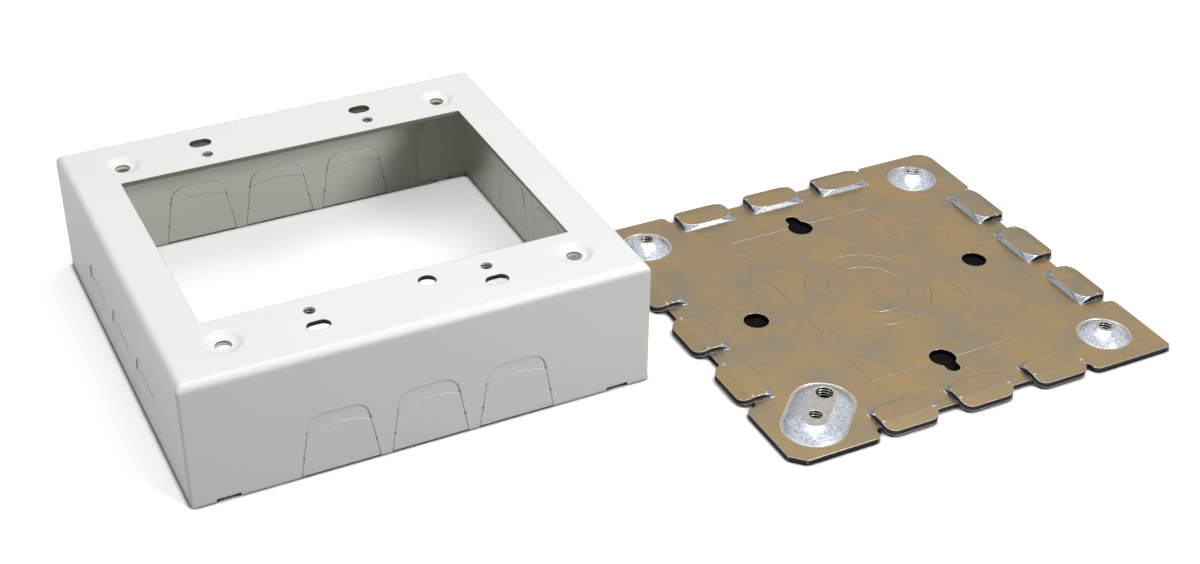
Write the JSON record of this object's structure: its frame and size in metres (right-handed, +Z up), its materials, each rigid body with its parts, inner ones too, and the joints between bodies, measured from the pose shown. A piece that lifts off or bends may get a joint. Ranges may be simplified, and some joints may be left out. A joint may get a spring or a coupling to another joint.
{
  "type": "surface raceway device box",
  "caption": "Steel surface raceway device box: folded cover with a wide device opening and twistouts in its walls, beside its base plate with tongues, bosses and knockouts.",
  "frame": {"origin": "bottom centre of the box round both pieces, on the surface that they lie on", "axes": "+X along the front edges from the cover to the base plate, +Y to the back, +Z up out of the wall"},
  "size_m": [0.2522, 0.1658, 0.035],
  "materials": {
    "cover_paint": "smooth off-white enamel, satin",
    "plate_zinc": "bare zinc-coated sheet, mottled, brighter where formed or sheared"
  },
  "bodies": {
    "base_plate": {"base_plate": "plate_zinc"},
    "cover": {"cover": "cover_paint"},
    "front_arch_1": {"front_arch_1": "cover_paint"},
    "front_twistout_1": {"front_twistout_1": "cover_paint"},
    "front_arch_2": {"front_arch_2": "cover_paint"},
    "front_twistout_2": {"front_twistout_2": "cover_paint"},
    "front_arch_3": {"front_arch_3": "cover_paint"},
    "front_twistout_3": {"front_twistout_3": "cover_paint"},
    "right_arch_1": {"right_arch_1": "cover_paint"},
    "right_twistout_1": {"right_twistout_1": "cover_paint"},
    "right_arch_2": {"right_arch_2": "cover_paint"},
    "right_twistout_2": {"right_twistout_2": "cover_paint"},
    "right_arch_3": {"right_arch_3": "cover_paint"},
    "right_twistout_3": {"right_twistout_3": "cover_paint"},
    "back_arch_1": {"back_arch_1": "cover_paint"},
    "back_twistout_1": {"back_twistout_1": "cover_paint"},
    "back_arch_2": {"back_arch_2": "cover_paint"},
    "back_twistout_2": {"back_twistout_2": "cover_paint"},
    "back_arch_3": {"back_arch_3": "cover_paint"},
    "back_twistout_3": {"back_twistout_3": "cover_paint"},
    "left_arch_1": {"left_arch_1": "cover_paint"},
    "left_twistout_1": {"left_twistout_1": "cover_paint"},
    "left_arch_2": {"left_arch_2": "cover_paint"},
    "left_twistout_2": {"left_twistout_2": "cover_paint"},
    "left_arch_3": {"left_arch_3": "cover_paint"},
    "left_twistout_3": {"left_twistout_3": "cover_paint"},
    "knockout_panel": {"knockout_panel": "plate_zinc"},
    "knockout_ring": {"knockout_ring": "plate_zinc"},
    "knockout_disc": {"knockout_disc": "plate_zinc"}
  },
  "joints": [
    {"name": "cover_lift", "type": "slide", "parent": "base_plate", "child": "cover", "axis": [0, 0, 1], "range_m": [0, 0.06]},
    {"name": "front_arch_1_bend", "type": "hinge", "parent": "cover", "child": "front_arch_1", "pos_m": [-0.08899, -0.034, 0.0121], "axis": [1, 0, 0], "range_deg": [-20, 20]},
    {"name": "front_twistout_1_bend", "type": "hinge", "parent": "front_arch_1", "child": "front_twistout_1", "pos_m": [-0.08899, -0.034, 0.0052], "axis": [1, 0, 0], "range_deg": [-20, 20]},
    {"name": "front_arch_2_bend", "type": "hinge", "parent": "cover", "child": "front_arch_2", "pos_m": [-0.06579, -0.034, 0.0121], "axis": [1, 0, 0], "range_deg": [-20, 20]},
    {"name": "front_twistout_2_bend", "type": "hinge", "parent": "front_arch_2", "child": "front_twistout_2", "pos_m": [-0.06579, -0.034, 0.0052], "axis": [1, 0, 0], "range_deg": [-20, 20]},
    {"name": "front_arch_3_bend", "type": "hinge", "parent": "cover", "child": "front_arch_3", "pos_m": [-0.04259, -0.034, 0.0121], "axis": [1, 0, 0], "range_deg": [-20, 20]},
    {"name": "front_twistout_3_bend", "type": "hinge", "parent": "front_arch_3", "child": "front_twistout_3", "pos_m": [-0.04259, -0.034, 0.0052], "axis": [1, 0, 0], "range_deg": [-20, 20]},
    {"name": "right_arch_1_bend", "type": "hinge", "parent": "cover", "child": "right_arch_1", "pos_m": [-0.00606, 0.00095, 0.0121], "axis": [0, 1, 0], "range_deg": [-20, 20]},
    {"name": "right_twistout_1_bend", "type": "hinge", "parent": "right_arch_1", "child": "right_twistout_1", "pos_m": [-0.00606, 0.00095, 0.0052], "axis": [0, 1, 0], "range_deg": [-20, 20]},
    {"name": "right_arch_2_bend", "type": "hinge", "parent": "cover", "child": "right_arch_2", "pos_m": [-0.00606, 0.02415, 0.0121], "axis": [0, 1, 0], "range_deg": [-20, 20]},
    {"name": "right_twistout_2_bend", "type": "hinge", "parent": "right_arch_2", "child": "right_twistout_2", "pos_m": [-0.00606, 0.02415, 0.0052], "axis": [0, 1, 0], "range_deg": [-20, 20]},
    {"name": "right_arch_3_bend", "type": "hinge", "parent": "cover", "child": "right_arch_3", "pos_m": [-0.00606, 0.04735, 0.0121], "axis": [0, 1, 0], "range_deg": [-20, 20]},
    {"name": "right_twistout_3_bend", "type": "hinge", "parent": "right_arch_3", "child": "right_twistout_3", "pos_m": [-0.00606, 0.04735, 0.0052], "axis": [0, 1, 0], "range_deg": [-20, 20]},
    {"name": "back_arch_1_bend", "type": "hinge", "parent": "cover", "child": "back_arch_1", "pos_m": [-0.04259, 0.0823, 0.0121], "axis": [-1, 0, 0], "range_deg": [-20, 20]},
    {"name": "back_twistout_1_bend", "type": "hinge", "parent": "back_arch_1", "child": "back_twistout_1", "pos_m": [-0.04259, 0.0823, 0.0052], "axis": [-1, 0, 0], "range_deg": [-20, 20]},
    {"name": "back_arch_2_bend", "type": "hinge", "parent": "cover", "child": "back_arch_2", "pos_m": [-0.06579, 0.0823, 0.0121], "axis": [-1, 0, 0], "range_deg": [-20, 20]},
    {"name": "back_twistout_2_bend", "type": "hinge", "parent": "back_arch_2", "child": "back_twistout_2", "pos_m": [-0.06579, 0.0823, 0.0052], "axis": [-1, 0, 0], "range_deg": [-20, 20]},
    {"name": "back_arch_3_bend", "type": "hinge", "parent": "cover", "child": "back_arch_3", "pos_m": [-0.08899, 0.0823, 0.0121], "axis": [-1, 0, 0], "range_deg": [-20, 20]},
    {"name": "back_twistout_3_bend", "type": "hinge", "parent": "back_arch_3", "child": "back_twistout_3", "pos_m": [-0.08899, 0.0823, 0.0052], "axis": [-1, 0, 0], "range_deg": [-20, 20]},
    {"name": "left_arch_1_bend", "type": "hinge", "parent": "cover", "child": "left_arch_1", "pos_m": [-0.12551, 0.04735, 0.0121], "axis": [0, -1, 0], "range_deg": [-20, 20]},
    {"name": "left_twistout_1_bend", "type": "hinge", "parent": "left_arch_1", "child": "left_twistout_1", "pos_m": [-0.12551, 0.04735, 0.0052], "axis": [0, -1, 0], "range_deg": [-20, 20]},
    {"name": "left_arch_2_bend", "type": "hinge", "parent": "cover", "child": "left_arch_2", "pos_m": [-0.12551, 0.02415, 0.0121], "axis": [0, -1, 0], "range_deg": [-20, 20]},
    {"name": "left_twistout_2_bend", "type": "hinge", "parent": "left_arch_2", "child": "left_twistout_2", "pos_m": [-0.12551, 0.02415, 0.0052], "axis": [0, -1, 0], "range_deg": [-20, 20]},
    {"name": "left_arch_3_bend", "type": "hinge", "parent": "cover", "child": "left_arch_3", "pos_m": [-0.12551, 0.00095, 0.0121], "axis": [0, -1, 0], "range_deg": [-20, 20]},
    {"name": "left_twistout_3_bend", "type": "hinge", "parent": "left_arch_3", "child": "left_twistout_3", "pos_m": [-0.12551, 0.00095, 0.0052], "axis": [0, -1, 0], "range_deg": [-20, 20]},
    {"name": "panel_bend", "type": "hinge", "parent": "base_plate", "child": "knockout_panel", "pos_m": [0.06781, 0.01095, 0.0015], "axis": [-1, 0, 0], "range_deg": [0, 60]},
    {"name": "ring_bend", "type": "hinge", "parent": "knockout_panel", "child": "knockout_ring", "pos_m": [0.06781, -0.0081, 0.0015], "axis": [-1, 0, 0], "range_deg": [0, 60]},
    {"name": "disc_bend", "type": "hinge", "parent": "knockout_ring", "child": "knockout_disc", "pos_m": [0.06145, -0.03464, 0.0015], "axis": [0.8192, -0.5736, 0], "range_deg": [0, 60]}
  ]
}
